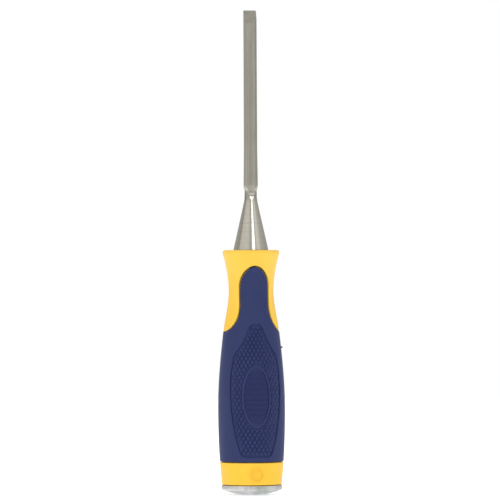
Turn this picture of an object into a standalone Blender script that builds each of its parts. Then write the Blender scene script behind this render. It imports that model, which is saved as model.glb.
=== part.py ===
# Quarter-inch bench chisel: forged blade, hard plastic handle core, soft overmoulded
# grip and a steel strike cap.
#
# Frame: metres, +Z up along the tool with the cutting edge at the top. The origin is the
# middle of the struck face, and the bevelled face of the blade looks along -Y.

import math

import bmesh
import bpy
from mathutils import Matrix, Vector

MM = 0.001

# What is left between pieces that touch on the real tool.
FIT_GAP = 0.3 * MM

# Blade: a bevel-edged bar, ground flat on the back.
BLADE_REACH = 120.0 * MM            # cutting edge above the bolster's foot
BLADE_WIDTH = 6.35 * MM             # the size it is sold by
BLADE_BACK = 1.0 * MM               # back face behind the tool's axis
BLADE_TIP_THICKNESS = 3.0 * MM
BLADE_HEEL_THICKNESS = 3.75 * MM
BLADE_WALL = 2.05 * MM              # square side left under the side bevels
BLADE_HEEL_WALL = 2.6 * MM
BLADE_FLAT_WIDTH = 3.8 * MM         # front flat between the side bevels
BLADE_HEEL_FLARE = 0.45 * MM        # how much wider the heel is than the edge
EDGE_ANGLE = math.radians(25.0)     # cutting bevel against the back
HEEL_LENGTH = 17.0 * MM             # stretch over which the bar thickens to its heel
HEEL_TAPER = 3.5 * MM               # stretch from the heel down to the neck

# Neck, bolster and tang: one forging with the blade.
NECK_RADIUS = 3.0 * MM
NECK_LENGTH = 4.0 * MM
BOLSTER_RADIUS = 8.8 * MM
BOLSTER_LENGTH = 25.7 * MM
BOLSTER_EDGE = 0.4 * MM             # broken edge round the bolster's foot
TANG_TOP_WIDTH = 6.6 * MM
TANG_END_WIDTH = 3.2 * MM
TANG_LENGTH = 56.0 * MM

# Handle outline: radius and slope (radius per height) at each height where it turns.
HANDLE_TOP = 122.2 * MM             # collar face above the struck face
COLLAR_RADIUS = 14.15 * MM
COLLAR_SLOPE = 0.26
COLLAR_ROUND = 1.3 * MM
SEAT_DEPTH = 0.5 * MM               # recess in the collar that the bolster beds into
WAIST_DROP = 20.4 * MM              # below the top of the handle
WAIST_RADIUS = 11.18 * MM
SHOULDER_DROP = 41.5 * MM
SHOULDER_RADIUS = 14.1 * MM
SHOULDER_SLOPE = -0.115
BELLY_HEIGHT = 43.0 * MM            # above the struck face
BELLY_RADIUS = 16.75 * MM
FOOT_RADIUS = 14.97 * MM
FOOT_SLOPE = 0.1
FOOT_ROUND = 0.4 * MM

# Soft grip: a sleeve with one tongue up the front and one up the back.
GRIP_WALL = 2.4 * MM
GRIP_FOOT_HEIGHT = 16.2 * MM
TONGUE_TIP_DROP = 8.2 * MM          # tip below the top of the handle
TONGUE_HALF_WIDTH = 7.1 * MM
TONGUE_POINT_LENGTH = 10.0 * MM     # tip down to where the sides run parallel
TONGUE_FLARE_LENGTH = 14.3 * MM     # flare from the parallel sides down to the shoulder

# Strike cap: a low steel dome on a stem that sits in the core.
CAP_RADIUS = 15.2 * MM
CAP_WALL = 1.6 * MM
CAP_DOME = 3.2 * MM
CAP_FLAT_RADIUS = 3.0 * MM          # flat that the mallet meets first
CAP_EDGE = 0.25 * MM
STEM_RADIUS = 4.0 * MM
STEM_LENGTH = 14.0 * MM

TURN_STEPS = 48
ARC_STEPS = 5
CURVE_STEPS = 7
RING_PITCH = 5.0 * MM               # height between rings on the handle's outline

CAP_TOP = CAP_DOME + CAP_WALL
CORE_FOOT = CAP_TOP + FIT_GAP
WAIST_HEIGHT = HANDLE_TOP - WAIST_DROP
SHOULDER_HEIGHT = HANDLE_TOP - SHOULDER_DROP
TONGUE_TIP_HEIGHT = HANDLE_TOP - TONGUE_TIP_DROP
BOLSTER_FOOT = HANDLE_TOP - SEAT_DEPTH + FIT_GAP
BLADE_EDGE_HEIGHT = BOLSTER_FOOT + BLADE_REACH
NECK_FOOT = BOLSTER_FOOT + BOLSTER_LENGTH
NECK_TOP = NECK_FOOT + NECK_LENGTH
BEYOND = 1.4 * (BELLY_RADIUS + COLLAR_RADIUS)   # reach of a cutter past the handle


def clear_scene():
    for thing in list(bpy.data.objects):
        bpy.data.objects.remove(thing, do_unlink=True)


def make_material(name, colour, roughness, metallic):
    material = bpy.data.materials.new(name)
    material.use_nodes = True
    shader = material.node_tree.nodes["Principled BSDF"]
    shader.inputs["Base Color"].default_value = (*colour, 1.0)
    shader.inputs["Roughness"].default_value = roughness
    shader.inputs["Metallic"].default_value = metallic
    material.diffuse_color = (*colour, 1.0)
    return material


def finish_object(name, bm, material=None):
    """Turns a closed bmesh into an object with its faces out, shaded smooth below 35 degrees."""
    bmesh.ops.remove_doubles(bm, verts=bm.verts, dist=1e-6)
    bmesh.ops.recalc_face_normals(bm, faces=bm.faces)
    mesh = bpy.data.meshes.new(name)
    bm.to_mesh(mesh)
    bm.free()
    mesh.shade_smooth()
    mesh.set_sharp_from_angle(angle=math.radians(35.0))
    obj = bpy.data.objects.new(name, mesh)
    bpy.context.scene.collection.objects.link(obj)
    if material:
        mesh.materials.append(material)
    return obj


def make_cutter(name, bm):
    cutter = finish_object(name, bm)
    cutter.hide_render = True
    cutter.display_type = "WIRE"
    return cutter


def add_boolean(obj, other, operation):
    modifier = obj.modifiers.new(operation.title() + " " + other.name, "BOOLEAN")
    modifier.operation = operation
    modifier.solver = "EXACT"
    modifier.object = other


def turned(profile):
    """Spins (radius, height) points round the tool's axis. A closed outline makes a ring."""
    bm = bmesh.new()
    points = [bm.verts.new((radius, 0.0, height)) for radius, height in profile]
    closed = profile[0][0] > 0.0
    edges = [bm.edges.new(pair) for pair in zip(points, points[1:])]
    if closed:
        edges.append(bm.edges.new((points[-1], points[0])))
    bmesh.ops.spin(
        bm,
        geom=points + edges,
        cent=(0.0, 0.0, 0.0),
        axis=(0.0, 0.0, 1.0),
        angle=math.tau,
        steps=TURN_STEPS,
        use_merge=True,
    )
    return bm


def arc(centre, radius, start, end, steps=ARC_STEPS):
    """Points of an arc in the (radius, height) plane, angles in degrees."""
    points = []
    for step in range(steps + 1):
        angle = math.radians(start + (end - start) * step / steps)
        points.append((centre[0] + radius * math.cos(angle), centre[1] + radius * math.sin(angle)))
    return points


def bezier(start, first, second, end, steps=CURVE_STEPS):
    points = []
    for step in range(steps + 1):
        t = step / steps
        weights = ((1 - t) ** 3, 3 * t * (1 - t) ** 2, 3 * t * t * (1 - t), t ** 3)
        corners = (start, first, second, end)
        points.append(tuple(sum(w * p[axis] for w, p in zip(weights, corners)) for axis in (0, 1)))
    return points


def handle_turns():
    """(height, radius, slope) at the heights where the handle's outline turns."""
    return (
        (CORE_FOOT, FOOT_RADIUS, FOOT_SLOPE),
        (BELLY_HEIGHT, BELLY_RADIUS, 0.0),
        (SHOULDER_HEIGHT, SHOULDER_RADIUS, SHOULDER_SLOPE),
        (WAIST_HEIGHT, WAIST_RADIUS, 0.0),
        (HANDLE_TOP - COLLAR_ROUND, COLLAR_RADIUS, COLLAR_SLOPE),
    )


def handle_radius(height):
    """Radius of the whole handle: a cubic through each pair of neighbouring turns."""
    turns = handle_turns()
    height = min(max(height, turns[0][0]), turns[-1][0])
    for (z0, r0, s0), (z1, r1, s1) in zip(turns, turns[1:]):
        if height <= z1:
            break
    span = z1 - z0
    t = (height - z0) / span
    return (
        r0 * (2 * t ** 3 - 3 * t ** 2 + 1)
        + s0 * span * (t ** 3 - 2 * t ** 2 + t)
        + r1 * (3 * t ** 2 - 2 * t ** 3)
        + s1 * span * (t ** 3 - t ** 2)
    )


def handle_curve(low, high, offset=0.0):
    """Outline points from low up to high, moved outward by offset."""
    count = max(2, round((high - low) / RING_PITCH))
    heights = [low + (high - low) * step / count for step in range(count + 1)]
    return [(handle_radius(height) + offset, height) for height in heights]


def handle_solid():
    """The complete outside of the handle, before the grip's seat is cut from it."""
    foot = arc((FOOT_RADIUS - FOOT_ROUND, CORE_FOOT + FOOT_ROUND), FOOT_ROUND, -90, 0, 3)
    side = handle_curve(CORE_FOOT + 2 * FOOT_ROUND, HANDLE_TOP - COLLAR_ROUND)
    collar = arc((COLLAR_RADIUS - COLLAR_ROUND, HANDLE_TOP - COLLAR_ROUND), COLLAR_ROUND, 0, 90)
    return turned([(0.0, CORE_FOOT), *foot, *side, *collar[1:], (0.0, HANDLE_TOP)])


def tongue_outline(gap):
    """Right-hand edge of the grip in front view, from the tongue's tip to the shoulder."""
    tip = TONGUE_TIP_HEIGHT + gap
    side = TONGUE_HALF_WIDTH + gap
    shoulder = SHOULDER_HEIGHT + gap
    reach = SHOULDER_RADIUS + gap
    parallel_top = tip - TONGUE_POINT_LENGTH
    parallel_foot = shoulder + TONGUE_FLARE_LENGTH
    point = bezier(
        (0.0, tip),
        (0.31 * side, tip),
        (side, (tip + parallel_top) / 2),
        (side, parallel_top),
    )
    flare = bezier(
        (side, parallel_foot),
        (side, shoulder + 0.55 * TONGUE_FLARE_LENGTH),
        (side + 0.38 * (reach - side), shoulder + 0.2 * TONGUE_FLARE_LENGTH),
        (reach, shoulder),
    )
    return point + flare


def cheek_cutter(name, gap):
    """Everything above the grip's edge in front view, as a slab through the handle."""
    right = tongue_outline(gap)
    left = [(-x, z) for x, z in reversed(right[1:])]
    foot = right[-1][1]
    top = HANDLE_TOP + COLLAR_RADIUS
    outline = [(-BEYOND, foot), *left, *right, (BEYOND, foot), (BEYOND, top), (-BEYOND, top)]
    bm = bmesh.new()
    face = bm.faces.new([bm.verts.new((x, -BEYOND, z)) for x, z in outline])
    grown = bmesh.ops.extrude_face_region(bm, geom=[face])
    moved = [item for item in grown["geom"] if isinstance(item, bmesh.types.BMVert)]
    bmesh.ops.translate(bm, verts=moved, vec=(0.0, 2 * BEYOND, 0.0))
    return make_cutter(name, bm)


def grip_sleeve(gap, proud):
    """The ring that the grip is cut from, grown by gap inward and by proud outward."""
    low = GRIP_FOOT_HEIGHT - gap
    high = TONGUE_TIP_HEIGHT + gap
    outside = handle_curve(low, high, proud)
    inside = handle_curve(low, high, -GRIP_WALL - gap)
    return turned(outside + inside[::-1])


def add_soft_grip(material):
    grip = finish_object("soft_grip", grip_sleeve(0.0, 0.0), material)
    add_boolean(grip, cheek_cutter("grip_cheeks_cut", 0.0), "DIFFERENCE")
    return grip


def grip_seat_cutter():
    """The grip grown by the fit gap, and carried out past the handle's side."""
    seat = make_cutter("grip_seat_cut", grip_sleeve(FIT_GAP, COLLAR_ROUND))
    add_boolean(seat, cheek_cutter("seat_cheeks_cut", FIT_GAP), "DIFFERENCE")
    return seat


def tang_solid(gap, top):
    """Square tang, tapered towards its end and grown by gap, carried straight up to top."""
    end = BOLSTER_FOOT - TANG_LENGTH - gap
    bm = bmesh.new()
    bmesh.ops.create_circle(bm, cap_ends=True, segments=4, radius=1.0)
    bmesh.ops.rotate(bm, verts=bm.verts, matrix=Matrix.Rotation(math.radians(45.0), 3, "Z"))
    corner = math.sqrt(0.5)
    stations = (
        (TANG_END_WIDTH / 2 + gap, end),
        (TANG_TOP_WIDTH / 2 + gap, BOLSTER_FOOT),
        (TANG_TOP_WIDTH / 2 + gap, top),
    )
    face = bm.faces[:][0]
    half, height = stations[0]
    for vert in face.verts:
        vert.co = Vector((vert.co.x * half / corner, vert.co.y * half / corner, height))
    for half, height in stations[1:]:
        grown = bmesh.ops.extrude_face_region(bm, geom=[face])
        faces = [item for item in grown["geom"] if isinstance(item, bmesh.types.BMFace)]
        if height != stations[1][1]:
            bmesh.ops.delete(bm, geom=[face], context="FACES_ONLY")
        face = faces[0]
        for vert in face.verts:
            vert.co = Vector((math.copysign(half, vert.co.x), math.copysign(half, vert.co.y), height))
    return bm


def seat_solid():
    """Room for the bolster's foot, sunk in the collar's face."""
    reach = BOLSTER_RADIUS + FIT_GAP
    low = HANDLE_TOP - SEAT_DEPTH
    high = HANDLE_TOP + SEAT_DEPTH
    return turned([(0.0, low), (reach, low), (reach, high), (0.0, high)])


def stem_solid(gap, low):
    """The cap's stem grown by gap, from low up to its end."""
    high = CAP_TOP + STEM_LENGTH + gap
    return turned([(0.0, low), (STEM_RADIUS + gap, low), (STEM_RADIUS + gap, high), (0.0, high)])


def add_handle_core(material):
    core = finish_object("handle_core", handle_solid(), material)
    add_boolean(core, grip_seat_cutter(), "DIFFERENCE")
    slot = tang_solid(FIT_GAP, HANDLE_TOP + TANG_TOP_WIDTH)
    add_boolean(core, make_cutter("bolster_seat_cut", seat_solid()), "DIFFERENCE")
    add_boolean(core, make_cutter("tang_slot_cut", slot), "DIFFERENCE")
    add_boolean(core, make_cutter("stem_bore_cut", stem_solid(FIT_GAP, 0.0)), "DIFFERENCE")
    return core


def add_strike_cap(material):
    """Low dome, short side wall and stem, turned in one piece."""
    rise = CAP_DOME
    reach = CAP_RADIUS - CAP_EDGE - CAP_FLAT_RADIUS
    dome_radius = (reach ** 2 + rise ** 2) / (2 * rise)
    sweep = math.degrees(math.asin(reach / dome_radius))
    dome = arc((CAP_FLAT_RADIUS, dome_radius), dome_radius, -90, sweep - 90, 6)
    wall = [
        (CAP_RADIUS, CAP_DOME + CAP_EDGE),
        (CAP_RADIUS, CAP_TOP - CAP_EDGE),
        (CAP_RADIUS - CAP_EDGE, CAP_TOP),
    ]
    stem = [(STEM_RADIUS, CAP_TOP), (STEM_RADIUS, CAP_TOP + STEM_LENGTH), (0.0, CAP_TOP + STEM_LENGTH)]
    return finish_object("strike_cap", turned([(0.0, 0.0), *dome, *wall, *stem]), material)


def blade_section(bm, height, half_width, wall, thickness, flat_half):
    """One cross-section of the bar: flat back, square sides, side bevels and a front flat."""
    outline = (
        (-half_width, BLADE_BACK),
        (half_width, BLADE_BACK),
        (half_width, BLADE_BACK - wall),
        (flat_half, BLADE_BACK - thickness),
        (-flat_half, BLADE_BACK - thickness),
        (-half_width, BLADE_BACK - wall),
    )
    verts = [bm.verts.new((x, y, height)) for x, y in outline]
    return [bm.edges.new((verts[i], verts[i - 1])) for i in range(len(verts))]


def blade_bar():
    """The bar from inside the neck to the cutting edge, with the cutting bevel ground on."""
    half = BLADE_WIDTH / 2
    flat = BLADE_FLAT_WIDTH / 2
    heel = NECK_TOP + HEEL_TAPER
    above = BLADE_EDGE_HEIGHT + BLADE_TIP_THICKNESS
    root = 0.7 * NECK_RADIUS
    bm = bmesh.new()
    loops = [
        blade_section(bm, NECK_TOP - NECK_LENGTH / 2, root, 0.8 * root, 1.5 * root, 0.5 * root),
        blade_section(bm, heel, half + BLADE_HEEL_FLARE / 2, BLADE_HEEL_WALL, BLADE_HEEL_THICKNESS, flat),
        blade_section(bm, heel + HEEL_LENGTH, half, BLADE_WALL, BLADE_HEEL_THICKNESS, flat),
        blade_section(bm, above, half, BLADE_WALL, BLADE_TIP_THICKNESS, flat),
    ]
    for lower, upper in zip(loops, loops[1:]):
        bmesh.ops.bridge_loops(bm, edges=lower + upper)
    bmesh.ops.holes_fill(bm, edges=bm.edges)
    cut = bmesh.ops.bisect_plane(
        bm,
        geom=bm.verts[:] + bm.edges[:] + bm.faces[:],
        plane_co=(0.0, BLADE_BACK, BLADE_EDGE_HEIGHT),
        plane_no=(0.0, -math.cos(EDGE_ANGLE), math.sin(EDGE_ANGLE)),
        clear_outer=True,
    )
    rim = [item for item in cut["geom_cut"] if isinstance(item, bmesh.types.BMEdge)]
    bmesh.ops.holes_fill(bm, edges=rim)
    return bm


def bolster_profile():
    """Tang side of the bolster up its cone to the neck, with a scooped root under the neck."""
    slope = (BOLSTER_RADIUS - NECK_RADIUS) / BOLSTER_LENGTH
    scoop = NECK_LENGTH / 2
    cone_end = (NECK_RADIUS + slope * scoop, NECK_FOOT - scoop)
    root = bezier(
        cone_end,
        (NECK_RADIUS, NECK_FOOT),
        (NECK_RADIUS, NECK_FOOT),
        (NECK_RADIUS, NECK_FOOT + scoop),
        4,
    )
    return [
        (0.0, BOLSTER_FOOT),
        (BOLSTER_RADIUS - BOLSTER_EDGE, BOLSTER_FOOT),
        (BOLSTER_RADIUS, BOLSTER_FOOT + BOLSTER_EDGE),
        *root,
        (NECK_RADIUS, NECK_TOP),
        (0.0, NECK_TOP),
    ]


def add_blade(material):
    blade = finish_object("blade", turned(bolster_profile()), material)
    tang = tang_solid(0.0, BOLSTER_FOOT + BOLSTER_LENGTH / 4)
    add_boolean(blade, make_cutter("blade_bar_join", blade_bar()), "UNION")
    add_boolean(blade, make_cutter("tang_join", tang), "UNION")
    return blade


def main():
    clear_scene()
    steel = make_material("forged_steel", (0.30, 0.30, 0.27), 0.32, 1.0)
    yellow = make_material("yellow_plastic", (0.98, 0.65, 0.09), 0.38, 0.0)
    blue = make_material("blue_elastomer", (0.035, 0.042, 0.12), 0.62, 0.0)
    plated = make_material("plated_steel", (0.52, 0.53, 0.47), 0.3, 1.0)
    pieces = [add_blade(steel), add_handle_core(yellow), add_soft_grip(blue), add_strike_cap(plated)]
    frame = bpy.data.objects.new("chisel", None)
    bpy.context.scene.collection.objects.link(frame)
    for piece in pieces:
        piece.parent = frame


main()
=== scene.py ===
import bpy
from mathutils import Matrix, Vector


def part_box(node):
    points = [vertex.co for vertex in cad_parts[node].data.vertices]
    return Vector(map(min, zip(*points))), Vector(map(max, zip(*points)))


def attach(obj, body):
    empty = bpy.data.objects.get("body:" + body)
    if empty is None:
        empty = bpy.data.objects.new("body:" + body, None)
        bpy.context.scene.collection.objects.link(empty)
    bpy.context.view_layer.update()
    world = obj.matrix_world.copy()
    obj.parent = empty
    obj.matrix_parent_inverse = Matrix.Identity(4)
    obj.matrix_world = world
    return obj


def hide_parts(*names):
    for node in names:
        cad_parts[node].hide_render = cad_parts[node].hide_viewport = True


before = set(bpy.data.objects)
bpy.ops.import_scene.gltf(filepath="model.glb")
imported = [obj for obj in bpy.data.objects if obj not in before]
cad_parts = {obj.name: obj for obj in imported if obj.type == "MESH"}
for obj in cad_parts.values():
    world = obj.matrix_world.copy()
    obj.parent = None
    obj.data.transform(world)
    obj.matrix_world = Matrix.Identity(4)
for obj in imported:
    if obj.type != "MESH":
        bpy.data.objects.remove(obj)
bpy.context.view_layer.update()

import math

import bmesh
import bpy
from mathutils import Matrix, Vector

# Meshes are drawn in millimetres and turned to metres when a piece is finished.
# +Z runs up the tool to the cutting edge, and the bevelled side looks along -Y.
mm = 0.001


def boxOf(node):
    low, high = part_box(node)
    return low / mm, high / mm


bladeLow, bladeHigh = boxOf("blade")
coreLow, coreHigh = boxOf("handle_core")
gripLow, gripHigh = boxOf("soft_grip")
capLow, capHigh = boxOf("strike_cap")


def clamp(value, low=0.0, high=1.0):
    return min(max(value, low), high)


def easedStep(value):
    value = clamp(value)
    return value * value * (3 - 2 * value)


# The handle's side, which the core and the grip share. Drops are below its top face, and
# a slope is how fast the radius grows on the way up.
handle = {
    "foot": coreLow.z,
    "top": coreHigh.z,
    "footRadius": 14.97,
    "footSlope": 0.1,
    "bellyHeight": 43.0,
    "bellyRadius": gripHigh.x,
    "shoulderDrop": 41.5,
    "shoulderRadius": 14.1,
    "shoulderSlope": -0.115,
    "waistDrop": 20.4,
    "waistRadius": 11.18,
    "collarRadius": 14.15,
    "collarSlope": 0.26,
    "collarRound": 1.3,
    "gap": 0.64,                # seam between the two mouldings beside a tongue
    "endGap": 0.42,             # and round the handle, at the shoulder and the foot
    "fit": 0.3,                 # what is left round a part that is pressed in
    "sheetDepth": 2.9,          # how far in a wrapped sheet may reach
    "collarDepth": 1.3,         # and where the collar is tight
}

shoulder = handle["top"] - handle["shoulderDrop"]
collarLean = math.atan(handle["collarSlope"])
roundCentre = (handle["collarRadius"] - handle["collarRound"], handle["top"] - handle["collarRound"])
roundFoot = roundCentre[1] - handle["collarRound"] * math.sin(collarLean)
roundLength = handle["collarRound"] * (math.pi / 2 + collarLean)


def handleTurns():
    lipRadius = roundCentre[0] + handle["collarRound"] * math.cos(collarLean)
    return (
        (handle["foot"], handle["footRadius"], handle["footSlope"]),
        (handle["bellyHeight"], handle["bellyRadius"], 0.0),
        (shoulder, handle["shoulderRadius"], handle["shoulderSlope"]),
        (handle["top"] - handle["waistDrop"], handle["waistRadius"], 0.0),
        (roundFoot, lipRadius, handle["collarSlope"]),
    )


def handleRadius(height):
    turns = handleTurns()
    height = clamp(height, turns[0][0], turns[-1][0])
    for (z0, r0, s0), (z1, r1, s1) in zip(turns, turns[1:]):
        if height <= z1:
            break
    span = z1 - z0
    t = (height - z0) / span
    start = r0 * (2 * t ** 3 - 3 * t ** 2 + 1) + s0 * span * (t ** 3 - 2 * t ** 2 + t)
    end = r1 * (3 * t ** 2 - 2 * t ** 3) + s1 * span * (t ** 3 - t ** 2)
    return start + end


def skinPoint(v):
    # v is the height up the side, and then the way on over the collar's round and face.
    # Gives the radius and height there, and the outward direction in that plane.
    if v <= roundFoot:
        tilt = math.atan((handleRadius(v + 0.05) - handleRadius(v - 0.05)) / 0.1)
        return (handleRadius(v), v), (math.cos(tilt), -math.sin(tilt))
    along = v - roundFoot
    if along > roundLength:
        return (roundCentre[0] - along + roundLength, handle["top"]), (0.0, 1.0)
    angle = along / handle["collarRound"] - collarLean
    out = (math.cos(angle), math.sin(angle))
    return tuple(c + handle["collarRound"] * n for c, n in zip(roundCentre, out)), out


# A sheet is drawn flat and then wrapped on the handle: x is the angle round it times
# flatRadius, z runs up it, and -y is out of its surface.
flatRadius = 14.0
halfTurn = math.pi * flatRadius
acrossPitch, alongPitch = 0.95, 1.5     # a sheet's edges lie no farther apart than this


def wrapOnHandle(bm, lift=None):
    for vert in bm.verts:
        angle = vert.co.x / flatRadius
        crowding = easedStep((vert.co.z - roundFoot + 5.0) / 4.0)
        depth = handle["sheetDepth"] + (handle["collarDepth"] - handle["sheetDepth"]) * crowding
        height = max(-vert.co.y, -depth)
        if lift:
            height += lift(vert.co.z)
        (radius, z), out = skinPoint(vert.co.z)
        radius += out[0] * height
        vert.co = Vector((radius * math.sin(angle), -radius * math.cos(angle), z + out[1] * height))


def toFlat(point):
    # a half width seen from the front and a height, as a place on the flat sheet
    across, height = point
    return math.asin(clamp(across / handleRadius(height), -1.0, 1.0)) * flatRadius, height


def bezierPoints(start, first, second, end, steps, crowd=1.0):
    points = []
    for step in range(steps + 1):
        t = 1 - (1 - step / steps) ** crowd     # crowd over 1 packs them towards the end
        weights = ((1 - t) ** 3, 3 * t * (1 - t) ** 2, 3 * t * t * (1 - t), t ** 3)
        places = (start, first, second, end)
        points.append(tuple(sum(w * p[axis] for w, p in zip(weights, places)) for axis in (0, 1)))
    return points


def roundedCorner(before, corner, after, reach, steps=4):
    corner = Vector(corner)
    start = corner + (Vector(before) - corner).normalized() * reach
    end = corner + (Vector(after) - corner).normalized() * reach
    return bezierPoints(start, start.lerp(corner, 0.6), end.lerp(corner, 0.6), end, steps)


def arcPoints(centre, radius, start, end, steps):
    turns = [math.radians(start + (end - start) * step / steps) for step in range(steps + 1)]
    return [(centre[0] + radius * math.cos(turn), centre[1] + radius * math.sin(turn)) for turn in turns]


def evenSteps(low, high, pitch):
    count = max(1, math.ceil((high - low) / pitch))
    return [low + (high - low) * step / count for step in range(count + 1)]


def flatFace(bm, outline, depth, tag=0):
    face = bm.faces.new([bm.verts.new((u, depth, v)) for u, v in outline])
    face.normal_update()
    if face.normal.y > 0:
        face.normal_flip()
    face.material_index = tag
    return face


def facingOut(bm, depth, tags):
    # the faces of a flat sheet that look out of it from this depth
    bm.normal_update()
    return [face for face in bm.faces if face.material_index in tags and face.normal.y < -0.9
            and abs(face.calc_center_median().y - depth) < 0.01]


def withCorners(faces):
    # faces with their edges and corners, as an operator that cuts or grows them needs
    edges = {edge for face in faces for edge in face.edges}
    verts = {vert for face in faces for vert in face.verts}
    return list(faces) + list(edges) + list(verts)


def pushed(bm, faces, distance):
    # extrudes faces straight through the sheet: a positive distance goes inwards
    grown = bmesh.ops.extrude_face_region(bm, geom=withCorners(faces))["geom"]
    verts = [item for item in grown if isinstance(item, bmesh.types.BMVert)]
    bmesh.ops.translate(bm, verts=verts, vec=(0, distance, 0))
    bm.normal_update()
    return [item for item in grown if isinstance(item, bmesh.types.BMFace)]


def cutFaces(bm, faces, place, direction):
    bmesh.ops.bisect_plane(bm, geom=withCorners(faces), dist=1e-4, plane_co=place, plane_no=direction)


def gridCuts(bm, uPlaces, vPlaces, keptTag=None):
    # edges at a regular pitch, so that the sheet can bend; faces with the kept tag stay whole
    for places, axis in ((uPlaces, 0), (vPlaces, 2)):
        direction = Vector((0, 0, 0))
        direction[axis] = 1
        for place in places:
            faces = [face for face in bm.faces if face.material_index != keptTag]
            cutFaces(bm, faces, direction * place, direction)


def roundEdges(bm, edges, width, segments=3):
    bmesh.ops.bevel(bm, geom=edges, offset=width, offset_type="OFFSET", affect="EDGES",
                    segments=segments, profile=0.5, material=-1, clamp_overlap=True)


def cornersAt(bm, depth, seams=(), angle=40.0):
    # sharp edges of a flat sheet at this depth, but not where it meets its other half
    found = []
    for edge in bm.edges:
        flat = all(abs(vert.co.y - depth) < 1e-3 for vert in edge.verts)
        seam = any(all(abs(vert.co.x - place) < 1e-3 for vert in edge.verts) for place in seams)
        sharp = len(edge.link_faces) == 2 and edge.calc_face_angle(0.0) > math.radians(angle)
        if flat and sharp and not seam:
            found.append(edge)
    return found


def openSeams(bm, seams):
    # takes out the end walls, where the sheet's other half joins on
    ends = [face for face in bm.faces
            if any(all(abs(vert.co.x - place) < 1e-3 for vert in face.verts) for place in seams)]
    bmesh.ops.delete(bm, geom=ends, context="FACES_ONLY")


def addOtherHalf(bm):
    # the back of the handle is its front turned half way round
    copy = bmesh.ops.duplicate(bm, geom=bm.verts[:] + bm.edges[:] + bm.faces[:])["geom"]
    verts = [item for item in copy if isinstance(item, bmesh.types.BMVert)]
    bmesh.ops.rotate(bm, verts=verts, cent=(0, 0, 0), matrix=Matrix.Rotation(math.pi, 3, "Z"))
    bmesh.ops.remove_doubles(bm, verts=bm.verts, dist=0.004)


def spinProfile(bm, points, steps=128):
    # from the axis round the outside and back to the axis
    verts = [bm.verts.new((radius, 0.0, z)) for radius, z in points]
    edges = [bm.edges.new(pair) for pair in zip(verts, verts[1:])]
    bmesh.ops.spin(bm, geom=verts + edges, cent=(0, 0, 0), axis=(0, 0, 1),
                   angle=math.tau, steps=steps, use_merge=True)


def addPiece(name, bm, node, material, sharp=32.0):
    bmesh.ops.remove_doubles(bm, verts=bm.verts, dist=0.001)
    bmesh.ops.recalc_face_normals(bm, faces=bm.faces)
    bmesh.ops.scale(bm, vec=(mm, mm, mm), verts=bm.verts)
    for face in bm.faces:
        face.material_index = 0
    mesh = bpy.data.meshes.new(name)
    bm.to_mesh(mesh)
    bm.free()
    mesh.shade_smooth()
    mesh.set_sharp_from_angle(angle=math.radians(sharp))
    mesh.materials.append(material)
    piece = bpy.data.objects.new(name, mesh)
    bpy.context.scene.collection.objects.link(piece)
    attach(piece, "root")
    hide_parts(node)
    print("made", name, "with", len(mesh.polygons), "faces")
    return piece


# Materials. Every pattern reads Object coordinates, in metres. A grain's size and a smear's
# are in millimetres, and a bump's depth is in metres.


def addNode(tree, kind, inputs=None, **settings):
    node = tree.nodes.new("ShaderNode" + kind)
    for name, value in settings.items():
        setattr(node, name, value)
    for name, value in (inputs or {}).items():
        if isinstance(value, bpy.types.NodeSocket):
            tree.links.new(value, node.inputs[name])
        else:
            node.inputs[name].default_value = value
    return node


def noiseOf(tree, vector, scale, detail=3.0, roughness=0.5):
    inputs = {"Vector": vector, "Scale": scale, "Detail": detail, "Roughness": roughness}
    return addNode(tree, "TexNoise", inputs).outputs["Fac"]


def heightOf(tree, place):
    return addNode(tree, "SeparateXYZ", {"Vector": place}).outputs["Z"]


def ranged(tree, value, fromLow, fromHigh, toLow=0.0, toHigh=1.0):
    inputs = {"Value": value, "From Min": fromLow, "From Max": fromHigh, "To Min": toLow, "To Max": toHigh}
    return addNode(tree, "MapRange", inputs, clamp=True).outputs["Result"]


def mathOf(tree, operation, first, second=0.0):
    return addNode(tree, "Math", {0: first, 1: second}, operation=operation).outputs["Value"]


def mixedValue(tree, factor, first, second):
    return addNode(tree, "Mix", {0: factor, 2: first, 3: second}).outputs[0]


def mixedColour(tree, factor, first, second):
    return addNode(tree, "Mix", {0: factor, 6: first, 7: second}, data_type="RGBA").outputs[2]


def bumped(tree, height, distance, below=None):
    inputs = {"Height": height, "Distance": distance, "Strength": 1.0}
    if below is not None:
        inputs["Normal"] = below
    return addNode(tree, "Bump", inputs).outputs["Normal"]


def newGroup(name, inputs, outputs):
    group = bpy.data.node_groups.new(name, "ShaderNodeTree")
    for socket, kind, value in inputs:
        made = group.interface.new_socket(socket, in_out="INPUT", socket_type=kind)
        if value is not None:
            made.default_value = value
    for socket in outputs:
        group.interface.new_socket(socket, in_out="OUTPUT", socket_type="NodeSocketFloat")
    given = group.nodes.new("NodeGroupInput").outputs
    return group, given, group.nodes.new("NodeGroupOutput").inputs


def placed(tree, group, inputs):
    node = addNode(tree, "Group", node_tree=group)
    for name, value in inputs.items():
        if isinstance(value, bpy.types.NodeSocket):
            tree.links.new(value, node.inputs[name])
        else:
            node.inputs[name].default_value = value
    return node.outputs


def makeMouldGrain():
    # the fine even texture of a mould's face, with a slow waviness under it
    group, given, result = newGroup(
        "mouldGrain",
        [("Vector", "NodeSocketVector", None), ("Grain Size", "NodeSocketFloat", 0.25)],
        ["Height", "Waviness"],
    )
    pitch = mathOf(group, "DIVIDE", 1000.0, given["Grain Size"])
    group.links.new(noiseOf(group, given["Vector"], pitch, 4.0, 0.6), result["Height"])
    group.links.new(noiseOf(group, given["Vector"], 90.0, 2.0), result["Waviness"])
    return group


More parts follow.
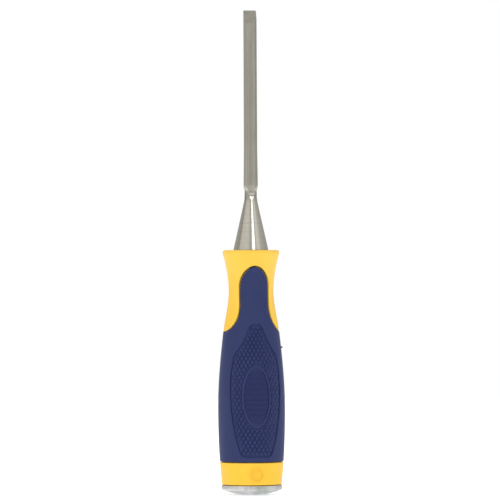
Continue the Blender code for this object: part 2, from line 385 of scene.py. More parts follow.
def makeHandlingMarks():
    # dull smears, and a few thin scuffs that run along the tool
    group, given, result = newGroup(
        "handlingMarks",
        [("Vector", "NodeSocketVector", None), ("Smear Size", "NodeSocketFloat", 12.0),
         ("Scuff Amount", "NodeSocketFloat", 0.35)],
        ["Smears", "Scuffs"],
    )
    pitch = mathOf(group, "DIVIDE", 1000.0, given["Smear Size"])
    smears = ranged(group, noiseOf(group, given["Vector"], pitch, 3.0, 0.6), 0.35, 0.75)
    along = addNode(group, "Mapping", {"Vector": given["Vector"], "Scale": (900.0, 900.0, 110.0)})
    lines = ranged(group, noiseOf(group, along.outputs["Vector"], 1.0, 2.0), 0.64, 0.72)
    group.links.new(smears, result["Smears"])
    group.links.new(mathOf(group, "MULTIPLY", lines, given["Scuff Amount"]), result["Scuffs"])
    return group


def makeGrindLines():
    # streaks left by a belt or a tool: Stretch is how fine they are along each axis
    group, given, result = newGroup(
        "grindLines",
        [("Vector", "NodeSocketVector", None), ("Stretch", "NodeSocketVector", (2500.0, 2500.0, 30.0))],
        ["Height", "Streaks"],
    )
    scaled = addNode(group, "VectorMath", {0: given["Vector"], 1: given["Stretch"]},
                     operation="MULTIPLY").outputs["Vector"]
    fine = noiseOf(group, scaled, 1.0, 4.0, 0.65)
    broad = noiseOf(group, scaled, 0.35, 2.0)
    group.links.new(fine, result["Height"])
    group.links.new(mixedValue(group, 0.5, fine, broad), result["Streaks"])
    return group


mouldGrain = makeMouldGrain()
handlingMarks = makeHandlingMarks()
grindLines = makeGrindLines()


def newMaterial(name):
    material = bpy.data.materials.new(name)
    material.use_nodes = True
    tree = material.node_tree
    place = addNode(tree, "TexCoord").outputs["Object"]
    return material, tree, tree.nodes["Principled BSDF"], place


yellow = {
    "colour": (0.905, 0.573, 0.061, 1.0),
    "deepColour": (0.862, 0.533, 0.043, 1.0),    # where the moulding is thicker
    "footColour": (0.872, 0.532, 0.024, 1.0),    # of the foot band, the thickest part
    "bandTop": 0.0172,
    "roughness": (0.42, 0.52),
    "grainSize": 0.35,
    "grainDepth": 0.00002,
}


def makeYellowPlastic():
    material, tree, shader, place = newMaterial("yellowPlastic")
    grain = placed(tree, mouldGrain, {"Vector": place, "Grain Size": yellow["grainSize"]})
    marks = placed(tree, handlingMarks, {"Vector": place, "Smear Size": 14.0, "Scuff Amount": 0.06})
    depth = ranged(tree, grain["Waviness"], 0.3, 0.7)
    shade = mixedColour(tree, depth, yellow["colour"], yellow["deepColour"])
    inBand = ranged(tree, heightOf(tree, place), yellow["bandTop"], yellow["bandTop"] - 0.002)
    tree.links.new(mixedColour(tree, inBand, shade, yellow["footColour"]), shader.inputs["Base Color"])
    dull = ranged(tree, marks["Smears"], 0.0, 1.0, *yellow["roughness"])
    tree.links.new(mathOf(tree, "ADD", dull, marks["Scuffs"]), shader.inputs["Roughness"])
    tree.links.new(bumped(tree, grain["Height"], yellow["grainDepth"]), shader.inputs["Normal"])
    shader.inputs["Subsurface Weight"].default_value = 0.08
    shader.inputs["Subsurface Radius"].default_value = (1.0, 0.5, 0.1)
    shader.inputs["Subsurface Scale"].default_value = 0.0012
    return material


# The oval in the middle of the grip's panel, with ribs across it.
badge = {
    "height": 49.3,
    "halfTurn": 25.5,           # degrees round the handle
    "halfLength": 15.6,
    "proud": 0.04,
    "rim": 0.64,
    "rimRound": 0.2,
    "sink": 0.5,
    "ribs": 9,
    "ribPitch": 2.55,
    "ribHeight": 1.15,
    "ribRise": 0.36,
    "ribMargin": 1.5,
    "ribRoot": 0.1,             # how far a rib reaches under the oval's floor
    "ribRound": 0.12,
    "rimHighlightBand": (0.88, 0.93, 0.99, 1.02),    # where the painted highlight on the rim comes and goes: 1 is the edge
}

blue = {
    "colour": (0.015, 0.025, 0.103, 1.0),
    "paleColour": (0.0198, 0.0305, 0.115, 1.0),
    "rimHighlightColour": (0.022, 0.032, 0.122, 1.0),      # painted highlight along the oval's rim
    "fieldColour": (0.009, 0.017, 0.089, 1.0),    # inside the oval, where less light gets in
    "roughness": (0.56, 0.66),
    "grainSize": 0.22,
    "grainDepth": 0.00004,
}


def ovalReach(tree, place):
    # how far out a point lies in the oval seen from the front: 1 is its edge
    across = math.sin(math.radians(badge["halfTurn"])) * handle["bellyRadius"] * mm
    centre = (0.0, 0.0, badge["height"] * mm)
    span = (1 / across, 0.0, 1 / (badge["halfLength"] * mm))
    offset = addNode(tree, "VectorMath", {0: place, 1: centre}, operation="SUBTRACT").outputs["Vector"]
    scaled = addNode(tree, "VectorMath", {0: offset, 1: span}, operation="MULTIPLY").outputs["Vector"]
    return addNode(tree, "VectorMath", {0: scaled}, operation="LENGTH").outputs["Value"]


def makeBlueElastomer():
    material, tree, shader, place = newMaterial("blueElastomer")
    grain = placed(tree, mouldGrain, {"Vector": place, "Grain Size": blue["grainSize"]})
    marks = placed(tree, handlingMarks, {"Vector": place, "Smear Size": 9.0, "Scuff Amount": 0.05})
    bloom = mixedValue(tree, 0.4, ranged(tree, grain["Waviness"], 0.3, 0.7), marks["Smears"])
    shade = mixedColour(tree, bloom, blue["colour"], blue["paleColour"])
    reach = ovalReach(tree, place)
    begins, full, fades, ends = badge["rimHighlightBand"]
    # painted highlight: a paler colour along the oval's rim, where light catches it
    rim = mathOf(tree, "MULTIPLY", ranged(tree, reach, begins, full), ranged(tree, reach, ends, fades))
    shade = mixedColour(tree, rim, shade, blue["rimHighlightColour"])
    field = ranged(tree, reach, full, begins - 0.01)
    tree.links.new(mixedColour(tree, field, shade, blue["fieldColour"]), shader.inputs["Base Color"])
    dull = ranged(tree, grain["Height"], 0.3, 0.7, *blue["roughness"])
    tree.links.new(mathOf(tree, "SUBTRACT", dull, marks["Scuffs"]), shader.inputs["Roughness"])
    tree.links.new(bumped(tree, grain["Height"], blue["grainDepth"]), shader.inputs["Normal"])
    shader.inputs["Specular IOR Level"].default_value = 0.3
    shader.inputs["Sheen Weight"].default_value = 0.18
    shader.inputs["Sheen Roughness"].default_value = 0.22
    shader.inputs["Sheen Tint"].default_value = (0.75, 0.78, 1.0, 1.0)
    return material


steel = {
    "colour": (0.50, 0.485, 0.43, 1.0),
    "darkColour": (0.40, 0.385, 0.335, 1.0),
    "stain": (0.36, 0.32, 0.26, 1.0),
    "barFoot": (0.1475, 0.1505),               # the turned finish gives way to the ground one
    "roughness": (0.17, 0.30),                 # turned, ground
    "beltStretch": (2600.0, 2600.0, 35.0),
    "toolStretch": (25.0, 25.0, 2600.0),
}


def makeForgedSteel():
    material, tree, shader, place = newMaterial("forgedSteel")
    onBar = ranged(tree, heightOf(tree, place), *steel["barFoot"])
    belt = placed(tree, grindLines, {"Vector": place, "Stretch": steel["beltStretch"]})
    turned = placed(tree, grindLines, {"Vector": place, "Stretch": steel["toolStretch"]})
    marks = placed(tree, handlingMarks, {"Vector": place, "Smear Size": 5.0, "Scuff Amount": 0.4})
    streaks = mixedValue(tree, onBar, turned["Streaks"], belt["Streaks"])
    lines = mixedValue(tree, onBar, turned["Height"], belt["Height"])
    shade = mixedColour(tree, ranged(tree, streaks, 0.35, 0.7), steel["darkColour"], steel["colour"])
    stain = mathOf(tree, "MULTIPLY", marks["Smears"], mathOf(tree, "MULTIPLY", onBar, 0.35))
    tree.links.new(mixedColour(tree, stain, shade, steel["stain"]), shader.inputs["Base Color"])
    finish = ranged(tree, onBar, 0.0, 1.0, *steel["roughness"])
    uneven = ranged(tree, streaks, 0.3, 0.7, -0.03, 0.06)
    tree.links.new(mathOf(tree, "ADD", finish, uneven), shader.inputs["Roughness"])
    tree.links.new(bumped(tree, lines, 0.000012), shader.inputs["Normal"])
    shader.inputs["Metallic"].default_value = 1.0
    return material


zinc = {
    "colour": (0.69, 0.68, 0.70, 1.0),
    "darkColour": (0.33, 0.38, 0.35, 1.0),
    "roughness": (0.30, 0.48),
    "flow": (260.0, 260.0, 700.0),
}


def makePlatedSteel():
    material, tree, shader, place = newMaterial("platedSteel")
    marks = placed(tree, handlingMarks, {"Vector": place, "Smear Size": 5.0, "Scuff Amount": 0.09})
    flow = placed(tree, grindLines, {"Vector": place, "Stretch": zinc["flow"]})
    shade = mixedColour(tree, marks["Smears"], zinc["colour"], zinc["darkColour"])
    tree.links.new(shade, shader.inputs["Base Color"])
    dull = ranged(tree, flow["Streaks"], 0.3, 0.7, *zinc["roughness"])
    tree.links.new(mathOf(tree, "ADD", dull, marks["Scuffs"]), shader.inputs["Roughness"])
    hammered = bumped(tree, flow["Height"], 0.00012)
    tree.links.new(bumped(tree, marks["Smears"], 0.00005, hammered), shader.inputs["Normal"])
    shader.inputs["Metallic"].default_value = 1.0
    return material


yellowPlastic = makeYellowPlastic()
blueElastomer = makeBlueElastomer()
forgedSteel = makeForgedSteel()
platedSteel = makePlatedSteel()
print("made the materials")


# Soft grip: one sleeve with a tongue and a textured panel on the front and on the back.
grip = {
    "foot": gripLow.z + handle["endGap"],
    "tip": gripHigh.z - 0.3,
    "wall": 2.4,
    "tongueHalf": 7.0,          # half its width seen from the front
    "rise": 0.5,                # of its edge over the handle's shoulder
    "pointLength": 10.0,
    "flareLength": 14.3,
    "edgeRound": 0.3,
}

panel = {
    "top": 85.3,
    "topHalf": 2.7,
    "kink": (6.4, 76.3),        # half width seen from the front, height
    "shoulder": (10.9, 69.5),
    "side": ((12.25, 61.5), (12.8, 52.2), (12.45, 43.0), (11.45, 34.7), (9.95, 26.9)),
    "bottom": 19.1,
    "bottomHalf": 7.6,
    "depth": 0.65,
    "moat": 0.55,               # plain channel inside its edge
    "diamond": (1.97, 3.8),     # across and along the flat sheet
    "flank": (0.40, 0.30),      # how far each diamond's side rises and leans in
    "crown": (0.10, 0.22),
    "smallest": 0.56,           # inner radius below which a diamond stays flat
}

tagSkin, tagPanel, tagBadge = 0, 1, 2


def tongueEdge(gap):
    # right-hand edge of the tongue seen from the front, from its tip down to the shoulder
    tip = grip["tip"] + gap
    side = grip["tongueHalf"] + gap
    low = shoulder + grip["rise"] + min(gap, handle["endGap"])
    reach = handleRadius(low)
    flare = grip["flareLength"]
    head = tip - grip["pointLength"]
    point = bezierPoints((0.0, tip), (0.44 * side, tip), (side, tip - 0.39 * (tip - head)), (side, head), 18)
    straight = [(side, height) for height in evenSteps(low + flare, head, 3.0)[-2:0:-1]]
    curve = bezierPoints((side, low + flare), (side, low + 0.55 * flare),
                         (side + 0.38 * (reach - side), low + 0.2 * flare), (reach, low), 22, 2.0)
    return [toFlat(place) for place in point + straight + curve]


def panelEdge():
    # right half of the panel's edge, from the middle of its top to the middle of its bottom
    topCorner = (panel["topHalf"], panel["top"])
    bottomCorner = (panel["bottomHalf"], panel["bottom"])
    points = [(0.0, panel["top"])]
    points += roundedCorner(points[0], topCorner, panel["kink"], 1.3)
    points += roundedCorner(topCorner, panel["kink"], panel["shoulder"], 0.6, 2)
    points += roundedCorner(panel["kink"], panel["shoulder"], panel["side"][0], 0.8, 3)
    points += list(panel["side"])
    points += roundedCorner(panel["side"][-1], bottomCorner, (0.0, panel["bottom"]), 2.0)
    points.append((0.0, panel["bottom"]))
    return [toFlat(place) for place in points]


def badgeEdge():
    # right half of the oval, from its bottom to its top
    reach = math.radians(badge["halfTurn"]) * flatRadius
    length = badge["halfLength"]
    turns = [math.radians(-90 + 180 * step / 40) for step in range(41)]
    places = [(reach * math.cos(turn), badge["height"] + length * math.sin(turn)) for turn in turns]
    places[0] = (0.0, places[0][1])
    places[-1] = (0.0, places[-1][1])
    return places


def drawGripSheet(bm):
    # three faces on each side: the skin, the panel and the oval
    halves = (tongueEdge(0.0), panelEdge(), badgeEdge())
    for side in (1, -1):
        edge, field, oval = [[(side * u, v) for u, v in half] for half in halves]
        foot = [(side * halfTurn / 2, grip["foot"]), (0.0, grip["foot"])]
        flatFace(bm, edge + foot + field[::-1], grip["wall"], tagSkin)
        flatFace(bm, field + oval, grip["wall"], tagPanel)
        flatFace(bm, oval, grip["wall"], tagBadge)
    bmesh.ops.remove_doubles(bm, verts=bm.verts, dist=1e-4)


def raiseBadge(bm):
    # an island as high as the grip's skin, sunk inside its rim
    halves = facingOut(bm, panel["depth"], (tagBadge,))
    oval = bmesh.ops.dissolve_faces(bm, faces=halves)["region"]
    top = pushed(bm, oval, -panel["depth"] - badge["proud"])
    bmesh.ops.inset_region(bm, faces=top, thickness=badge["rim"], use_even_offset=True)
    bm.normal_update()
    pushed(bm, top, badge["sink"])
    roundEdges(bm, cornersAt(bm, -badge["proud"]), badge["rimRound"], 3)


def raiseDiamonds(bm):
    # two sets of slanting cuts leave diamonds, and each one that is wide enough rises in two steps
    across, along = panel["diamond"]
    last = math.ceil(halfTurn / across + panel["top"] / along)
    for slant in (1, -1):
        direction = Vector((1 / across, 0, slant / along))
        for line in range(-last, last + 1):
            faces = facingOut(bm, panel["depth"], (tagPanel,))
            reach = [direction.dot(vert.co) for face in faces for vert in face.verts]
            if min(reach) < line < max(reach):
                cutFaces(bm, faces, direction * (line / direction.length_squared), direction.normalized())
    faces = set(facingOut(bm, panel["depth"], (tagPanel,)))
    middle = {edge for face in faces for edge in face.edges
              if all(abs(vert.co.x) < 1e-3 for vert in edge.verts)
              and all(other in faces for other in edge.link_faces)}
    bmesh.ops.dissolve_edges(bm, edges=list(middle))
    raised = [face for face in facingOut(bm, panel["depth"], (tagPanel,))
              if 2 * face.calc_area() / face.calc_perimeter() > panel["smallest"]]
    print("raising", len(raised), "diamonds")
    for rise, flank in (panel["flank"], panel["crown"]):
        raised = bmesh.ops.extrude_discrete_faces(bm, faces=raised)["faces"]
        for face in raised:
            corners = face.verts[:]
            shrink = 1 - flank * face.calc_perimeter() / (2 * face.calc_area())
            middle = Matrix.Translation(-face.calc_center_median())
            bmesh.ops.scale(bm, verts=corners, vec=(shrink, 1, shrink), space=middle)
            bmesh.ops.translate(bm, verts=corners, vec=(0, -rise, 0))


def makeSoftGrip():
    seams = (-halfTurn / 2, halfTurn / 2)
    bm = bmesh.new()
    drawGripSheet(bm)
    pushed(bm, bm.faces[:], -grip["wall"])
    for face in bm.faces:
        if face.calc_center_median().y > 0.1:
            face.material_index = tagSkin
    pushed(bm, facingOut(bm, 0.0, (tagPanel, tagBadge)), panel["depth"])
    rim = bmesh.ops.inset_region(bm, faces=facingOut(bm, panel["depth"], (tagPanel,)),
                                 thickness=panel["moat"], use_even_offset=True)["faces"]
    for face in rim:
        face.material_index = tagSkin
    roundEdges(bm, cornersAt(bm, 0.0, seams), grip["edgeRound"])
    raiseBadge(bm)
    openSeams(bm, seams)
    field = set(facingOut(bm, panel["depth"], (tagPanel,)))
    for face in bm.faces:
        if face not in field:
            face.material_index = tagSkin
    lengths = evenSteps(grip["foot"], grip["tip"], alongPitch)
    gridCuts(bm, evenSteps(*seams, acrossPitch), lengths, tagPanel)
    raiseDiamonds(bm)
    wrapOnHandle(bm)
    addOtherHalf(bm)
    return addPiece("softGrip", bm, "soft_grip", blueElastomer)


def makeGripRibs():
    # plain ribs across the oval
    bm = bmesh.new()
    reach = math.radians(badge["halfTurn"]) * flatRadius
    floor = badge["sink"] - badge["proud"]
    rise, root = badge["ribRise"], badge["ribRoot"]
    for index in range(badge["ribs"]):
        offset = (index - (badge["ribs"] - 1) / 2) * badge["ribPitch"]
        half = reach * math.sqrt(1 - (offset / badge["halfLength"]) ** 2) - badge["ribMargin"]
        bar = bmesh.ops.create_cube(bm, size=1.0)["verts"]
        bmesh.ops.scale(bm, verts=bar, vec=(2 * half, rise + root, badge["ribHeight"]))
        middle = floor + (root - rise) / 2
        bmesh.ops.translate(bm, verts=bar, vec=(0, middle, badge["height"] + offset))
    roundEdges(bm, cornersAt(bm, floor - rise), badge["ribRound"], 2)
    gridCuts(bm, evenSteps(-reach, reach, 0.9), [])
    wrapOnHandle(bm)
    addOtherHalf(bm)
    return addPiece("gripRibs", bm, "soft_grip", blueElastomer)


gate = {"height": 73.5, "radius": 0.46, "proud": 0.9, "root": 0.4, "edgeRound": 0.15}


def makeGatePip():
    # the stub that the moulder's sprue left on the side of the grip
    bm = bmesh.new()
    length = gate["proud"] + gate["root"]
    bmesh.ops.create_cone(bm, cap_ends=True, segments=20, radius1=gate["radius"] * 1.15,
                          radius2=gate["radius"] * 0.85, depth=length)
    end = [edge for edge in bm.edges if all(vert.co.z > 0 for vert in edge.verts)]
    roundEdges(bm, end, gate["edgeRound"], 3)
    bmesh.ops.rotate(bm, verts=bm.verts, cent=(0, 0, 0), matrix=Matrix.Rotation(math.pi / 2, 3, "Y"))
    middle = handleRadius(gate["height"]) + gate["proud"] - length / 2
    bmesh.ops.translate(bm, verts=bm.verts, vec=(middle, 0, gate["height"]))
    return addPiece("gatePip", bm, "soft_grip", blueElastomer)


makeSoftGrip()
makeGripRibs()
makeGatePip()


# Hard core: cheeks between the tongues, and a turned middle with the foot band.
core = {
    "cheekWall": 2.9,
    "skinDrop": 2.7,            # how deep the turned middle lies under the grip
    "lipDrop": 1.0,             # and under the collar, between these heights
    "lipFoot": grip["tip"] + 1.5,
    "lipTop": roundFoot - 0.6,
    "bandTop": grip["foot"] - handle["endGap"],
    "edgeRound": 0.42,
    "bandRound": 0.25,
    "footRound": 0.4,
    "seatRadius": 9.1,
    "seatDepth": 0.5,
    "tangRadius": 5.2,
    "tangFoot": 64.0,
    "stemRadius": 4.3,
    "stemTop": capHigh.z + 0.2,
    "sink": 0.14,               # the cheeks stand below the grip at the shoulder
    "sinkReach": 6.0,
}


def cheekLift(v):
    return -core["sink"] * easedStep(1 - (v - shoulder) / core["sinkReach"])


def addCheeks(bm):
    face = roundFoot + roundLength
    top = face + roundCentre[0] - core["seatRadius"]
    edge = tongueEdge(handle["gap"])
    other = [(halfTurn - u, v) for u, v in edge[-2::-1]]
    flatFace(bm, edge + other + [(halfTurn, top), (0.0, top)], core["cheekWall"])
    pushed(bm, bm.faces[:], -core["cheekWall"])
    seams = (0.0, halfTurn)
    roundEdges(bm, cornersAt(bm, 0.0, seams), core["edgeRound"])
    openSeams(bm, seams)
    lengths = evenSteps(shoulder, roundFoot, alongPitch)
    lengths += evenSteps(roundFoot, face, 0.3) + evenSteps(face, top, 1.2)
    gridCuts(bm, evenSteps(*seams, acrossPitch), lengths)
    wrapOnHandle(bm, cheekLift)
    addOtherHalf(bm)


def coreProfile():
    # from the stem's socket round the outside, and down into the tang's socket
    foot = handle["foot"]
    band = core["bandTop"]
    soft = core["footRound"]
    edge = core["bandRound"]
    footRadius = handleRadius(foot + soft)
    bandRadius = handleRadius(band - edge)
    points = [(0.0, core["stemTop"]), (core["stemRadius"], core["stemTop"]), (core["stemRadius"], foot)]
    points += arcPoints((footRadius - soft, foot + soft), soft, -90, 0, 4)
    points += [(handleRadius(z), z) for z in evenSteps(foot + soft, band - edge, 1.0)[1:-1]]
    points += arcPoints((bandRadius - edge, band - edge), edge, 0, 90, 3)
    points += [(handleRadius(z) - core["skinDrop"], z) for z in evenSteps(band, grip["tip"], 2.0)]
    lip = evenSteps(core["lipFoot"], core["lipTop"], 1.0)
    points += [(handleRadius(z) - core["lipDrop"], z) for z in lip]
    seat = handle["top"] - core["seatDepth"]
    points += [(roundCentre[0], seat - 0.1), (core["seatRadius"] + 0.3, seat)]
    points += [(core["tangRadius"], seat), (core["tangRadius"], core["tangFoot"]), (0.0, core["tangFoot"])]
    return points


def makeHandleCore():
    bm = bmesh.new()
    addCheeks(bm)
    spinProfile(bm, coreProfile())
    return addPiece("handleCore", bm, "handle_core", yellowPlastic)


ring = {
    "height": 10.3,
    "radius": 3.7,
    "innerRadius": 2.1,
    "width": 0.6,
    "proud": 0.42,
    "root": 0.2,
    "edgeRound": 0.1,
}


def makeBandRing():
    # a plain moulded ring with a smaller one in it
    bm = bmesh.new()
    squeeze = flatRadius / handleRadius(ring["height"])
    for radius in (ring["radius"], ring["innerRadius"]):
        disc = bmesh.ops.create_circle(bm, cap_ends=True, segments=56, radius=radius)["verts"]
        face = disc[0].link_faces[0]
        bmesh.ops.inset_region(bm, faces=[face], thickness=ring["width"], use_boundary=True)
        bmesh.ops.delete(bm, geom=[face], context="FACES_ONLY")
    bmesh.ops.rotate(bm, verts=bm.verts, cent=(0, 0, 0), matrix=Matrix.Rotation(math.pi / 2, 3, "X"))
    bmesh.ops.scale(bm, verts=bm.verts, vec=(squeeze, 1, 1))
    bmesh.ops.translate(bm, verts=bm.verts, vec=(0, ring["root"], ring["height"]))
    pushed(bm, bm.faces[:], -ring["root"] - ring["proud"])
    roundEdges(bm, cornersAt(bm, -ring["proud"]), ring["edgeRound"], 2)
    wrapOnHandle(bm)
    return addPiece("bandRing", bm, "handle_core", yellowPlastic)


makeHandleCore()
makeBandRing()


# Strike cap: a low dome with a turned side and the stem that is driven into the core.
cap = {
    "radius": capHigh.x,
    "wallTop": handle["foot"] - handle["fit"],
    "flatRadius": 3.0,
    "domeRise": 1.95,
    "domeRadius": 13.5,         # where the dome turns up into the side
    "sideFoot": 3.0,
    "edge": 0.25,
    "stemRadius": 4.0,
}


def capProfile():
    # from the middle of the struck face round the side to the end of the stem
    flat, dome = cap["flatRadius"], cap["domeRadius"]
    points = [(0.0, 0.0)]
    for radius in evenSteps(flat, dome, 1.2):
        points.append((radius, cap["domeRise"] * ((radius - flat) / (dome - flat)) ** 2))
    slope = 2 * cap["domeRise"] / (dome - flat)
    corner = (cap["radius"], cap["domeRise"] + slope * (cap["radius"] - dome))
    points += bezierPoints(points.pop(), corner, corner, (cap["radius"], cap["sideFoot"]), 6)
    top = cap["wallTop"]
    points += arcPoints((cap["radius"] - cap["edge"], top - cap["edge"]), cap["edge"], 0, 90, 3)
    stem = cap["stemRadius"]
    points += [(stem, top), (stem, capHigh.z - 0.6), (stem - 0.6, capHigh.z), (0.0, capHigh.z)]
    return points


def makeStrikeCap():
    bm = bmesh.new()
    spinProfile(bm, capProfile())
    return addPiece("strikeCap", bm, "strike_cap", platedSteel)


makeStrikeCap()


# Blade: tang, bolster cone, neck and bar, grown ring by ring from the tang's end.
blade = {
    "tangFoot": bladeLow.z,
    "tangHalf": (1.6, 3.3),     # at its end and at the bolster
    "boleFoot": handle["top"] - core["seatDepth"] + handle["fit"],
    "boleRadius": bladeHigh.x,
    "boleEdge": 0.4,
    "neckFoot": 147.7,
    "neckTop": 151.7,
    "neckRadius": 3.0,
    "heel": 155.2,
    "edge": bladeHigh.z,
    "back": 1.0,
    "halfWidth": 3.175,
    "heelFlare": 0.225,
    "heelLength": 17.0,
    "heelSpread": 0.229,        # how fast the neck opens into the bar
    "front": (2.75, 2.0),       # depth of the front flat at the heel and at the tip
    "side": (1.6, 1.05),
    "flatHalf": 1.9,
    "neckDip": (0.14, 4.2),     # the front flat sinks a little over this length below the heel
    "neckRise": (0.18, 1.6),    # and rises again to the scoop
    "backRise": (2.2, 4.7),     # how the back fills out to the cone
    "neckSoftness": 0.35,
    "turnedReach": 8.0,         # over the heel, where the turned outline stops cutting the corners
    "scoopTop": 148.95,         # where the flat runs out onto the cone
    "scoopLength": 1.8,
    "scoopRise": 0.17,
    "corner": 0.09,             # wear on the ground corners
    "perSide": 22,              # corners of a ring on each of the bar's six sides
    "scoopRings": (146.0, 149.6),
    "ringPitch": (1.6, 0.15, 0.45, 3.0),    # on the cone, at the scoop, on the neck and on the bar
    "bevelAngle": 25.0,
    "bevelRound": 0.26,
}


def boleRadius(z):
    # the turned outline: cone, neck and the spread into the bar, which cuts the bar's corners
    rise = (z - blade["boleFoot"]) / (blade["neckFoot"] - blade["boleFoot"])
    cone = blade["boleRadius"] - (blade["boleRadius"] - blade["neckRadius"]) * rise
    wall = blade["neckRadius"] + blade["heelSpread"] * max(z - blade["neckTop"], 0.0)
    return (cone + wall + math.sqrt((cone - wall) ** 2 + blade["neckSoftness"] ** 2)) / 2


def barOutline(z):
    # the bar's six corners at this height, anticlockwise from the back right
    toTip = clamp((z - blade["heel"]) / (blade["edge"] - blade["heel"]))
    below = max(blade["heel"] - z, 0.0)
    wide = blade["halfWidth"] + blade["heelFlare"] * clamp(1 - (z - blade["heel"]) / blade["heelLength"])
    front = blade["front"][0] + (blade["front"][1] - blade["front"][0]) * toTip
    (dip, dipLength), (rise, riseLength) = blade["neckDip"], blade["neckRise"]
    front += rise * clamp((below - dipLength) / riseLength) - dip * easedStep(below / dipLength)
    side = blade["side"][0] + (blade["side"][1] - blade["side"][0]) * toTip
    swell, swellLength = blade["backRise"]
    back = blade["back"] + swell * min(below / swellLength, 1.2) ** 2
    scoop = clamp((blade["scoopTop"] - z) / blade["scoopLength"])
    grown = 1 + blade["scoopRise"] * scoop
    if scoop == 1.0:
        grown = max(grown, 1.35 * boleRadius(z) / blade["neckRadius"])
    corners = ((wide, back), (-wide, back), (-wide, -side), (-blade["flatHalf"], -front),
               (blade["flatHalf"], -front), (wide, -side))
    return [Vector(corner) * grown for corner in corners]


def ringPlaces(z):
    # one ring of the blade: the bar's outline, with what lies outside the turned one taken in
    perSide = blade["perSide"]
    corners = barOutline(z)
    limit = boleRadius(z) if z < blade["heel"] + blade["turnedReach"] else math.inf
    places = []
    for start, end in zip(corners, corners[1:] + corners[:1]):
        inset = blade["corner"] / (end - start).length
        for step in range(perSide):
            place = start.lerp(end, inset + (1 - 2 * inset) * step / (perSide - 1))
            places.append(place * min(1.0, limit / place.length))
    return places


def bladeRings():
    # heights and places: the tang, the bolster's base, and then the cone, neck and bar
    foot = blade["boleFoot"]
    edge = blade["boleEdge"]
    base = ringPlaces(foot + edge)
    rings = []
    for z, half in zip((blade["tangFoot"], foot), blade["tangHalf"]):
        rings.append((z, [place * (half / max(abs(place.x), abs(place.y))) for place in base]))
    rings.append((foot, [place.normalized() * (blade["boleRadius"] - edge) for place in base]))
    stops = (foot + edge, *blade["scoopRings"], blade["heel"] + 4, blade["edge"] + 1.0)
    heights = [foot + edge]
    for start, end, pitch in zip(stops, stops[1:], blade["ringPitch"]):
        heights += evenSteps(start, end, pitch)[1:]
    return rings + [(z, ringPlaces(z)) for z in heights]


def growRings(bm, rings):
    # the first ring closes the tang's end, and each later one is extruded from the one below
    verts = bmesh.ops.create_circle(bm, cap_ends=True, segments=6 * blade["perSide"], radius=1.0)["verts"]
    loop = sorted(verts, key=lambda vert: math.atan2(vert.co.y, vert.co.x) % math.tau)
    first = rings[0][1][0].normalized()
    shift = min(range(len(loop)), key=lambda index: (loop[index].co.xy - first).length)
    loop = loop[shift:] + loop[:shift]
    for index, (z, places) in enumerate(rings):
        if index > 0:
            edges = [bm.edges.get(pair) for pair in zip(loop, loop[1:] + loop[:1])]
            grown = bmesh.ops.extrude_edge_only(bm, edges=edges)["geom"]
            above = {item for item in grown if isinstance(item, bmesh.types.BMVert)}
            loop = [next(edge.other_vert(vert) for edge in vert.link_edges if edge.other_vert(vert) in above)
                    for vert in loop]
        for vert, place in zip(loop, places):
            vert.co = Vector((place.x, place.y, z))


def grindBevel(bm):
    # cuts the bar's end off at the bevel's angle, and wears its edges a little
    slant = math.radians(blade["bevelAngle"])
    cut = bmesh.ops.bisect_plane(bm, geom=bm.verts[:] + bm.edges[:] + bm.faces[:], clear_outer=True,
                                 dist=1e-5, plane_co=(0, blade["back"], blade["edge"]),
                                 plane_no=(0, -math.cos(slant), math.sin(slant)))["geom_cut"]
    rim = [item for item in cut if isinstance(item, bmesh.types.BMEdge)]
    bmesh.ops.contextual_create(bm, geom=rim)
    bm.normal_update()
    worn = [edge for edge in rim if all(vert.co.y < blade["back"] - 0.3 for vert in edge.verts)]
    roundEdges(bm, worn, blade["bevelRound"], 3)


def makeBlade():
    bm = bmesh.new()
    growRings(bm, bladeRings())
    grindBevel(bm)
    return addPiece("bladeForged", bm, "blade", forgedSteel, 14.0)


makeBlade()


# Camera, lights and floor, in degrees and metres.
camera = {
    "azimuth": -9.5,
    "distance": 2.5,
    "lens": 360.0,
    "roll": -0.245,
    "aside": -0.00045,          # how far it stands to the right of the tool
    "height": 0.1222,
}


def fromCamera(azimuth, elevation=0.0):
    # the direction that lies this far to the right of the camera and this high, seen from the tool
    turn = math.radians(camera["azimuth"] + azimuth)
    lift = math.radians(elevation)
    return Vector((math.sin(turn) * math.cos(lift), -math.cos(turn) * math.cos(lift), math.sin(lift)))


def addCamera():
    data = bpy.data.cameras.new("studioCamera")
    data.lens = camera["lens"]
    data.sensor_width = 36.0
    data.clip_end = 20.0
    eye = bpy.data.objects.new("studioCamera", data)
    bpy.context.scene.collection.objects.link(eye)
    back = fromCamera(0.0)
    eye.location = back * camera["distance"] + fromCamera(90.0) * camera["aside"]
    eye.location.z = camera["height"]
    look = (-back).to_track_quat("-Z", "Y").to_matrix().to_4x4()
    eye.rotation_euler = (look @ Matrix.Rotation(math.radians(camera["roll"]), 4, "Z")).to_euler()
    bpy.context.scene.camera = eye


studio = {
    # degrees to the right of the camera, brightness, and how warm it is
    "walls": ((-180, 0.62, 0.2), (-125, 0.60, 0.2), (-95, 0.42, 0.6), (-80, 0.82, 0.9), (-50, 0.76, 0.9),
              (-14, 0.72, 0.5), (-2, 0.47, 0.2), (9, 0.36, 0.2), (34, 0.29, 0.2), (44, 0.92, 0.4),
              (60, 0.90, 0.4), (76, 0.64, 0.3), (110, 0.60, 0.2), (180, 0.62, 0.2)),
    # degrees to the right of the camera, elevation, width, height, distance, brightness
    "softboxes": ((20, 27, 0.46, 0.52, 1.5, 3.4), (-48, 46, 0.90, 0.90, 1.6, 1.3)),
    "brightBand": (0.50, 0.50, 1.62, 0.72),    # its height, half its depth, strength in it and away from it
    "ceiling": (0.80, 0.92, 1.1),              # where the ceiling begins and is full, and what it adds
}


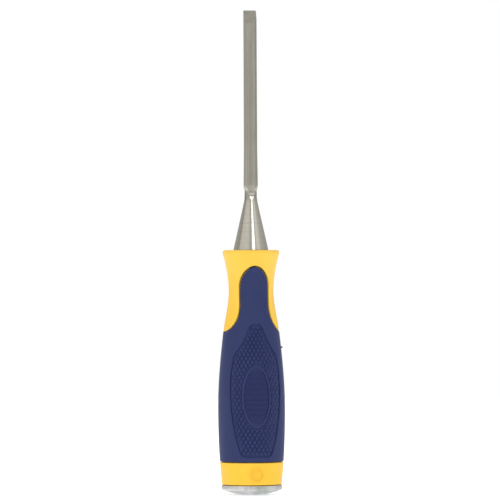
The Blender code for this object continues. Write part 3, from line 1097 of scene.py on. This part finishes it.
def addSoftbox(name, azimuth, elevation, width, height, distance, brightness):
    data = bpy.data.lights.new(name, "AREA")
    data.shape = "RECTANGLE"
    data.size = width
    data.size_y = height
    data.energy = brightness * math.pi * width * height
    lamp = bpy.data.objects.new(name, data)
    bpy.context.scene.collection.objects.link(lamp)
    out = fromCamera(azimuth, elevation)
    lamp.location = out * distance + Vector((0, 0, camera["height"]))
    lamp.rotation_euler = out.to_track_quat("Z", "Y").to_euler()


def addWalls():
    # the studio's walls and ceiling, which only the tool sees: the camera sees plain white
    world = bpy.data.worlds.new("studio")
    bpy.context.scene.world = world
    world.use_nodes = True
    tree = world.node_tree
    tree.nodes.clear()
    axes = addNode(tree, "SeparateXYZ", {"Vector": addNode(tree, "TexCoord").outputs["Generated"]}).outputs
    heading = mathOf(tree, "ARCTAN2", axes["X"], mathOf(tree, "MULTIPLY", axes["Y"], -1.0))
    turns = mathOf(tree, "DIVIDE", heading, math.tau)
    share = mathOf(tree, "FRACT", mathOf(tree, "ADD", turns, 1.5 - camera["azimuth"] / 360))
    ramp = addNode(tree, "ValToRGB", {"Fac": share})
    stops = ramp.color_ramp.elements
    stops.remove(stops[1])
    for angle, bright, warm in studio["walls"]:
        stop = stops[0] if angle == -180 else stops.new((angle + 180) / 360)
        stop.color = (bright, bright * (1 - 0.04 * warm), bright * (1 - 0.09 * warm), 1.0)
    middle, reach, within, away = studio["brightBand"]
    climb = mathOf(tree, "ABSOLUTE", mathOf(tree, "SUBTRACT", axes["Z"], middle))
    overhead = ranged(tree, axes["Z"], *studio["ceiling"][:2], 0.0, studio["ceiling"][2])
    strength = mathOf(tree, "ADD", ranged(tree, climb, 0.0, reach, within, away), overhead)
    lit = addNode(tree, "Background", {"Color": ramp.outputs["Color"], "Strength": strength})
    plain = addNode(tree, "Background", {"Color": (1.0, 1.0, 1.0, 1.0), "Strength": 1.0})
    direct = addNode(tree, "LightPath").outputs["Is Camera Ray"]
    mixed = addNode(tree, "MixShader", {0: direct, 1: lit.outputs[0], 2: plain.outputs[0]})
    tree.links.new(mixed.outputs[0], addNode(tree, "OutputWorld").inputs["Surface"])
    bpy.context.scene.view_settings.view_transform = "Standard"


def addFloor():
    bm = bmesh.new()
    bmesh.ops.create_circle(bm, cap_ends=True, segments=96, radius=1.6)
    mesh = bpy.data.meshes.new("studioFloor")
    bm.to_mesh(mesh)
    bm.free()
    material, tree, shader, place = newMaterial("studioPaper")
    speckle = ranged(tree, noiseOf(tree, place, 400.0), 0.3, 0.7, 0.90, 0.92)
    grey = {channel: speckle for channel in ("Red", "Green", "Blue")}
    paper = addNode(tree, "CombineColor", grey).outputs["Color"]
    tree.links.new(paper, shader.inputs["Base Color"])
    shader.inputs["Roughness"].default_value = 0.9
    shader.inputs["Specular IOR Level"].default_value = 0.1
    shader.inputs["Emission Color"].default_value = (1.0, 1.0, 1.0, 1.0)
    shader.inputs["Emission Strength"].default_value = 0.45
    mesh.materials.append(material)
    floor = bpy.data.objects.new("studioFloor", mesh)
    floor.location.z = capLow.z * mm - 0.0002
    bpy.context.scene.collection.objects.link(floor)


addCamera()
addWalls()
for index, softbox in enumerate(studio["softboxes"]):
    addSoftbox("softbox%d" % index, *softbox)
addFloor()
print("set the camera, the lights and the floor")
